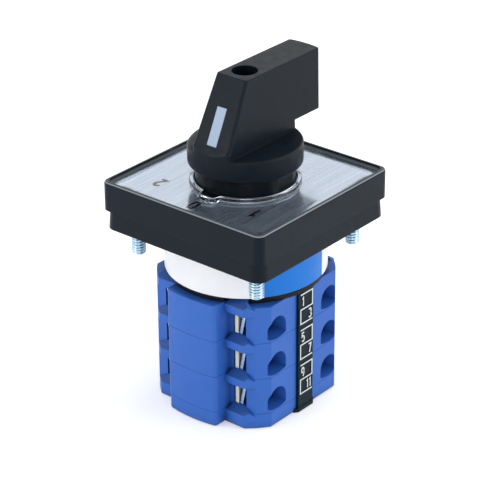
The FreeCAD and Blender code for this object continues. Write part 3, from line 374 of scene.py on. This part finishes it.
def dress_nodes():
    "Gives each solid its material, and returns the zinc for the threads."
    # The black, bezel, blue and tinned colours get painted light and shade through their shade functions.
    black = moulded_plastic(
        "black_moulding", srgb(2, 17, 29), rough=0.36, soft_edge=0.3, specular=0.15, shade=shade_base
    )
    bezel = moulded_plastic(
        "bezel_moulding", srgb(2, 17, 29), rough=0.36, soft_edge=0.1, specular=0.15, shade=shade_bezel
    )
    dark = moulded_plastic("dark_moulding", srgb(8, 13, 20), rough=0.5, specular=0.2)
    handle = moulded_plastic(
        "handle_moulding", srgb(9, 21, 31), rough=0.36, grain=0.01, soft_edge=0.14, specular=0.14
    )
    blue = moulded_plastic(
        "blue_moulding", srgb(50, 103, 192), rough=0.42,
        variation=0.03, soft_edge=0.14, specular=0.3, shade=shade_stage
    )
    azure = moulded_plastic(
        "azure_moulding", srgb(14, 118, 214), rough=0.4, variation=0.04, specular=0.3
    )
    strip = moulded_plastic("strip_moulding", srgb(6, 28, 38), rough=0.4, specular=0.12)
    natural = moulded_plastic("natural_moulding", srgb(214, 208, 194), rough=0.5)
    pointer = moulded_plastic(
        "pointer_film", srgb(170, 188, 213), rough=0.45, grain=0.02, specular=0.2
    )
    zinc = drawn_metal("zinc_plate", srgb(188, 216, 236), rough=0.3)
    steel = drawn_metal("shaft_steel", srgb(180, 182, 186), rough=0.32)
    wire = drawn_metal("spring_wire", srgb(170, 172, 176), rough=0.28)
    tinned = drawn_metal(
        "tinned_brass", srgb(252, 248, 232), rough=0.35,
        variation=0.02, metallic=0.1, shade=shade_terminal
    )
    brass = drawn_metal("contact_brass", srgb(214, 176, 106), rough=0.3)
    dress(black, "base_plate")
    dress(bezel, "bezel_frame")
    dress(dark, "spacer_plate")
    dress(handle, "handle")
    dress(azure, "detent_housing")
    dress(strip, "number_strip_odd", "number_strip_even")
    dress(pointer, "pointer_inlay")
    dress(brushed_dial(), "dial_plate")
    dress(label_film(), "rating_label")
    dress(steel, "shaft")
    for name in nodes:
        if name.startswith(("stage_housing", "end_cap")):
            dress(blue, name)
        elif name.startswith(("contact_slide", "detent_slide", "cam_", "star_wheel")):
            dress(natural, name)
        elif "spring" in name:
            dress(wire, name)
        elif name.startswith("contact_bridge"):
            dress(brass, name)
        elif name == "clamp_plates" or name.endswith("_screws") or name == "handle_screw":
            dress(zinc, name)
        elif name.startswith("terminal_"):
            dress(tinned, name)
    return zinc


# Pieces

def new_piece(name, mesh, material, body):
    obj = bpy.data.objects.new(name, mesh)
    bpy.context.scene.collection.objects.link(obj)
    mesh.materials.clear()
    mesh.materials.append(material)
    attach(obj, body)
    return obj


def mesh_of(name, build):
    "A mesh made by build, which fills a bmesh in mm."
    mesh = bpy.data.meshes.new(name)
    form = bmesh.new()
    build(form)
    bmesh.ops.recalc_face_normals(form, faces=form.faces)
    bmesh.ops.scale(form, vec=(MM, MM, MM), verts=form.verts)
    form.to_mesh(mesh)
    form.free()
    return mesh


def skin(form, rings):
    "Joins rings of points into a closed skin, with a lid on the first and the last."
    loops = [[form.verts.new(point) for point in ring] for ring in rings]
    count = len(loops[0])
    for below, above in zip(loops, loops[1:]):
        for i in range(count):
            j = (i + 1) % count
            form.faces.new((below[i], below[j], above[j], above[i]))
    form.faces.new(list(reversed(loops[0])))
    form.faces.new(loops[-1])


def around_axis(x, y, z, radii):
    "Points round the upright axis at x, y: one for each of the radii."
    points = []
    for i, radius in enumerate(radii):
        angle = 2 * math.pi * i / len(radii)
        points.append((x + radius * math.cos(angle), y + radius * math.sin(angle), z))
    return points


def threaded_rod(form, x, y, foot, top, crest, pitch, depth):
    "An upright threaded rod whose end at the foot is chamfered."
    sides = 40
    rings_per_turn = 9
    chamfer = 0.45
    flank_steepness = 1.25
    crest_flat = 0.12

    def radius_at(z, turn):
        flank = abs((z / pitch - turn) % 1.0 - 0.5) * 2
        cut = depth * min(1.0, max(0.0, flank * flank_steepness - crest_flat))
        return crest - max(cut, chamfer - (z - foot))

    rings = []
    count = int((top - foot) / pitch * rings_per_turn)
    for step in range(count + 1):
        z = foot + (top - foot) * step / count
        rings.append(around_axis(x, y, z, [radius_at(z, i / sides) for i in range(sides)]))
    skin(form, rings)


def make_studs(zinc):
    "The four panel screws: threads outside the base plate, and plain shanks and heads inside it."
    low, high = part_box("panel_screws")
    head_r = 3.2
    head_foot = 2.2
    head_edge = 0.2
    head_sides = 36
    shank_r = 1.6
    shank_foot = 0.5
    crest = 1.75
    pitch = 0.7
    depth = 0.3
    thread_top = 0.6
    place = high.x / MM - head_r
    outline = (
        (shank_r, shank_foot), (shank_r, head_foot), (head_r - head_edge / 2, head_foot),
        (head_r, head_foot + head_edge), (head_r, high.z / MM)
    )

    def build(form):
        for x in (-place, place):
            for y in (-place, place):
                threaded_rod(form, x, y, low.z / MM, thread_top, crest, pitch, depth)
                skin(form, [around_axis(x, y, z, [radius] * head_sides) for radius, z in outline])

    studs = new_piece("threaded_studs", mesh_of("threaded_studs", build), zinc, "switch_body")
    for face in studs.data.polygons:
        face.use_smooth = len(face.vertices) == 4
    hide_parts("panel_screws")


def ribbon(form, points, width, lay, closed=False):
    "A flat stroke of the given width through 2-D points; lay turns a 2-D point into a place."
    # The corners are mitred. Below this cosine of half a corner's turn, a mitre grows no longer.
    sharpest = 0.5
    sides = []
    count = len(points)
    for i in range(count):
        here = Vector(points[i])
        ways = []
        if i or closed:
            ways.append((here - Vector(points[i - 1])).normalized())
        if i < count - 1 or closed:
            ways.append((Vector(points[(i + 1) % count]) - here).normalized())
        way = sum(ways, Vector((0.0, 0.0))).normalized()
        across = Vector((-way.y, way.x))
        reach = width / 2 / max(sharpest, way.dot(ways[0]))
        sides.append((here + across * reach, here - across * reach))
    pairs = [(form.verts.new(lay(a)), form.verts.new(lay(b))) for a, b in sides]
    for i in range(count if closed else count - 1):
        j = (i + 1) % count
        form.faces.new((pairs[i][0], pairs[i][1], pairs[j][1], pairs[j][0]))


def bow(cx, cy, rx, ry, start, end, steps=12):
    "Points of an oval from the start to the end angle."
    points = []
    for i in range(steps + 1):
        angle = math.radians(start + (end - start) * i / steps)
        points.append((cx + rx * math.cos(angle), cy + ry * math.sin(angle)))
    return points


def digit_strokes():
    "The strokes of each digit in a box 1 high and about 0.6 wide: points and whether it is closed."
    oval = bow(0.12, 0.78, 0.18, 0.22, 0, 90, 5) + bow(-0.12, 0.78, 0.18, 0.22, 90, 180, 5)
    oval += bow(-0.12, 0.22, 0.18, 0.22, 180, 270, 5) + bow(0.12, 0.22, 0.18, 0.22, 270, 360, 5)
    five = [(0.24, 1.0), (-0.2, 1.0), (-0.23, 0.55)] + bow(0.0, 0.32, 0.27, 0.32, 115, -145)
    six = bow(0.02, 0.3, 0.26, 0.3, 100, 460, 18) + bow(0.12, 0.45, 0.4, 0.55, 185, 105, 6)
    nine = bow(-0.02, 0.7, 0.26, 0.3, -80, 280, 18)[::-1] + bow(-0.12, 0.55, 0.4, 0.55, 5, -75, 6)
    return {
        "0": [(oval, True)],
        "1": [([(-0.16, 0.8), (0.04, 1.0), (0.04, 0.0)], False)],
        "2": [(bow(0.0, 0.72, 0.27, 0.28, 165, -35) + [(-0.28, 0.0), (0.3, 0.0)], False)],
        "3": [
            (bow(0.0, 0.75, 0.25, 0.25, 150, -90), False),
            (bow(0.0, 0.26, 0.28, 0.26, 90, -150), False),
        ],
        "4": [([(0.14, 0.0), (0.14, 1.0), (-0.28, 0.28), (0.3, 0.28)], False)],
        "5": [(five, False)],
        "6": [(six, False)],
        "7": [([(-0.27, 1.0), (0.27, 1.0), (-0.06, 0.0)], False)],
        "8": [
            (bow(0.0, 0.76, 0.23, 0.24, 0, 360, 16)[:-1], True),
            (bow(0.0, 0.26, 0.27, 0.26, 0, 360, 16)[:-1], True),
        ],
        "9": [(nine, False)],
    }


STROKES = digit_strokes()


def write(form, text, height, width, lay, at, narrow=1.0, step=1.0):
    "Digits one beside the other at every step, centred on the 2-D place at."
    start = at[0] - step * (len(text) - 1) / 2
    for index, digit in enumerate(text):
        for points, closed in STROKES[digit]:
            placed = []
            for u, v in points:
                placed.append((start + index * step + u * height * narrow, at[1] + (v - 0.5) * height))
            ribbon(form, placed, width, lay, closed)


def rounded_square(half, corner, side_steps=72, corner_steps=7):
    "Points round a square with rounded corners, from the -X end of its -Y side."
    points = []
    flat = half - corner
    for quarter in range(4):
        turn = math.radians(90 * quarter)
        local = []
        for i in range(side_steps):
            local.append((-flat + 2 * flat * i / side_steps, -half))
        for i in range(corner_steps):
            angle = math.radians(-90 + 90 * i / corner_steps)
            local.append((flat + corner * math.cos(angle), -flat + corner * math.sin(angle)))
        for x, y in local:
            points.append((x * math.cos(turn) - y * math.sin(turn), x * math.sin(turn) + y * math.cos(turn)))
    return points


def key_bump(x, y):
    "0 round the neck and 1 in front of its key, with soft shoulders."
    key_half_angle = 12.6
    shoulder_angle = 5.4
    away = abs(math.degrees(math.atan2(x, -y)))
    t = min(1.0, max(0.0, (key_half_angle - away) / shoulder_angle))
    return t * t * (3 - 2 * t)


def make_clear_cover():
    "The clear pane over the dial in one piece with the raised ring round the neck."
    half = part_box("clear_cover")[1].x / MM
    ring_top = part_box("clear_cover")[1].z / MM
    ring_rise = 0.7
    dial_gap = 0.08
    pane_corner = 2.0
    bore = 12.15
    wall = 1.1
    key = 2.0
    soft = 0.25
    edge = 0.15
    ease = 0.3 * edge
    pane_top = ring_top - ring_rise
    foot = DIAL_TOP + dial_gap
    shoulder = ring_top - soft
    sharp_degrees = 32
    # Angles round the ring's soft edges, and places across the pane as shares of its width.
    rounding = (0.4, 0.8, 1.2)
    across = (0.25, 0.5, 0.75, 1.0)

    def section(reach, shift):
        "Radii and heights from the bore over the ring and the pane to the edge at reach."
        inner = bore + shift
        outer = inner + wall
        points = [(inner, foot), (inner, shoulder)]
        points += [(inner + soft - soft * math.cos(a), shoulder + soft * math.sin(a)) for a in rounding]
        points += [(inner + soft, ring_top), (outer - soft, ring_top)]
        points += [(outer - soft + soft * math.sin(a), shoulder + soft * math.cos(a)) for a in rounding]
        points += [(outer, shoulder), (outer, pane_top)]
        points += [(outer + (reach - edge - outer) * t, pane_top) for t in across]
        points += [(reach - ease, pane_top - ease), (reach, pane_top - edge), (reach, foot)]
        return points

    def build(form):
        columns = []
        for x, y in rounded_square(half, pane_corner):
            reach = math.hypot(x, y)
            points = section(reach, key * key_bump(x, y))
            columns.append([form.verts.new((x / reach * r, y / reach * r, z)) for r, z in points])
        steps = len(columns[0])
        for here, after in zip(columns, columns[1:] + columns[:1]):
            for j in range(steps):
                k = (j + 1) % steps
                form.faces.new((here[j], after[j], after[k], here[k]))

    mesh = mesh_of("clear_pane", build)
    mesh.shade_smooth()
    mesh.set_sharp_from_angle(angle=math.radians(sharp_degrees))
    pane = new_piece("clear_pane", mesh, clear_plastic(), "switch_body")
    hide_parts("clear_cover")


def make_dial_print():
    "The positions 0, 1 and 2, upright when the 0 is at the top."
    ink = print_ink("dial_ink", srgb(2, 3, 8), srgb(8, 10, 18))
    # The height, stroke, centre and narrowing of each digit.
    digits = {
        "0": (3.4, 0.62, (0.43, 18.07), 0.76),
        "1": (3.6, 0.78, (-13.17, 12.36), 1.0),
        "2": (3.5, 0.74, (14.5, 13.85), 0.8),
    }

    def lay(point):
        return (-point[0], -point[1], DIAL_TOP + PRINT_LIFT)

    def build(form):
        for digit, (height, stroke, centre, narrow) in digits.items():
            write(form, digit, height, stroke, lay, centre, narrow)

    new_piece("dial_digits", mesh_of("dial_digits", build), ink, "switch_body")


def write_number(form, text, way, half, v, lay):
    "A strip's number at height v, by the left or right line of its box, as way is -1 or 1."
    height = 2.3
    stroke = 0.4
    narrow = 0.72
    step = 1.0 if text == "11" else 1.3
    margin = 0.92 if len(text) == 1 else 0.22 + step
    write(form, text, height, stroke, lay, (way * (half - margin), v), narrow, step)


def make_strip_print():
    "The zigzag boxes and terminal numbers of both strips."
    ink = print_ink("strip_ink", srgb(206, 214, 214), srgb(236, 240, 240))
    box_width = 4.43
    half = box_width / 2
    line = 0.36
    box_height = 4.0
    zigzag_height = 7.75
    shared_line = 0.05
    top_margin = 0.86
    first_top = STRIP_TOP - top_margin

    for name, side, first in (("odd", 1, 1), ("even", -1, 2)):
        def lay(point, side=side):
            return (side * (STRIP_FACE + PRINT_LIFT), side * point[0], point[1])

        def build(form, first=first, lay=lay):
            for stage in range(STAGES):
                top = first_top - stage * STAGE_PITCH
                middle = top - box_height + shared_line
                foot = top - zigzag_height
                zigzag = [
                    (-half, top), (half, top), (half, middle),
                    (-half, middle), (-half, foot), (half, foot),
                ]
                ribbon(form, zigzag, line, lay)
                number = first + 4 * stage
                write_number(form, str(number), -1, half, top - box_height / 2, lay)
                write_number(form, str(number + 2), 1, half, middle - box_height / 2, lay)

        title = f"strip_numbers_{name}"
        new_piece(title, mesh_of(title, build), ink, "switch_body")


def make_springs():
    """The springs again as pieces with meshes of their own, in place of the solids."""
    for name in sorted(nodes):
        if "spring" not in name:
            continue
        solid = nodes[name].data
        title = name.replace("spring", "coil")
        coil = new_piece(title, solid.copy(), solid.materials[0], "switch_body")
        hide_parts(name)
        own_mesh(coil)


# Surroundings

# Each lamp's name, place and width in metres, and power in watts. All aim at the origin.
LAMPS = (
    ("key", (-0.35, -0.8, 0.22), 0.5, 2.1),
    ("fill", (0.75, 0.35, 0.25), 0.6, 2.5),
    ("front", (0.62, -0.74, 0.3), 0.5, 0.9),
    ("back", (0.0, 0.65, 0.75), 0.6, 2.0),
    ("glint", (-0.57, -0.43, 0.66), 0.14, 0.7),
)


def set_lamps():
    for name, place, width, power in LAMPS:
        data = bpy.data.lights.new(name, "AREA")
        data.shape = "DISK"
        data.size = width
        data.energy = power
        lamp = bpy.data.objects.new(name, data)
        bpy.context.scene.collection.objects.link(lamp)
        place = Vector(place)
        turn = place.to_track_quat("Z", "Y").to_matrix().to_4x4()
        lamp.matrix_world = Matrix.Translation(place) @ turn


def seen_directly(tree):
    "1 for rays from the camera and for rays mirrored or refracted, 0 for the light that falls on things."
    path = tree.nodes.new("ShaderNodeLightPath")
    seen = path.outputs["Is Camera Ray"]
    for kind in ("Is Transmission Ray", "Is Glossy Ray"):
        either = tree.nodes.new("ShaderNodeMath")
        either.operation = "MAXIMUM"
        tree.links.new(seen, either.inputs[0])
        tree.links.new(path.outputs[kind], either.inputs[1])
        seen = either.outputs[0]
    return seen


def light_world():
    "A world that looks white but lights things less strongly than white would."
    cast = 0.62
    seen = 1.0
    world = bpy.data.worlds.new("studio")
    world.use_nodes = True
    bpy.context.scene.world = world
    tree = world.node_tree
    background = tree.nodes["Background"]
    background.inputs["Color"].default_value = (1.0, 1.0, 1.0, 1.0)
    strength = tree.nodes.new("ShaderNodeMapRange")
    strength.inputs["To Min"].default_value = cast
    strength.inputs["To Max"].default_value = seen
    tree.links.new(seen_directly(tree), strength.inputs["Value"])
    tree.links.new(strength.outputs["Result"], background.inputs["Strength"])


def make_floor():
    "A pale floor that looks white and keeps the object's soft shadow."
    half = 4.0
    gap = 0.02
    z = (FLOOR_Z - gap) * MM
    glow_when_seen = 0.35
    mesh = bpy.data.meshes.new("floor")
    mesh.from_pydata(
        [(-half, -half, z), (half, -half, z), (half, half, z), (-half, half, z)], [], [(0, 1, 2, 3)]
    )
    floor = bpy.data.objects.new("floor", mesh)
    bpy.context.scene.collection.objects.link(floor)
    material = bpy.data.materials.new("floor")
    material.use_nodes = True
    tree = material.node_tree
    principled = tree.nodes["Principled BSDF"]
    principled.inputs["Base Color"].default_value = (0.93, 0.935, 0.94, 1.0)
    principled.inputs["Roughness"].default_value = 0.9
    principled.inputs["Specular IOR Level"].default_value = 0.0
    glow = tree.nodes.new("ShaderNodeEmission")
    lift = tree.nodes.new("ShaderNodeMath")
    lift.operation = "MULTIPLY"
    lift.inputs[1].default_value = glow_when_seen
    tree.links.new(seen_directly(tree), lift.inputs[0])
    tree.links.new(lift.outputs[0], glow.inputs["Strength"])
    both = tree.nodes.new("ShaderNodeAddShader")
    tree.links.new(principled.outputs[0], both.inputs[0])
    tree.links.new(glow.outputs[0], both.inputs[1])
    tree.links.new(both.outputs[0], tree.nodes["Material Output"].inputs["Surface"])
    mesh.materials.append(material)


def main():
    bpy.context.scene.view_settings.view_transform = "Standard"
    aim_camera()
    zinc = dress_nodes()
    make_studs(zinc)
    make_clear_cover()
    make_dial_print()
    make_strip_print()
    make_springs()
    light_world()
    make_floor()
    set_lamps()


main()
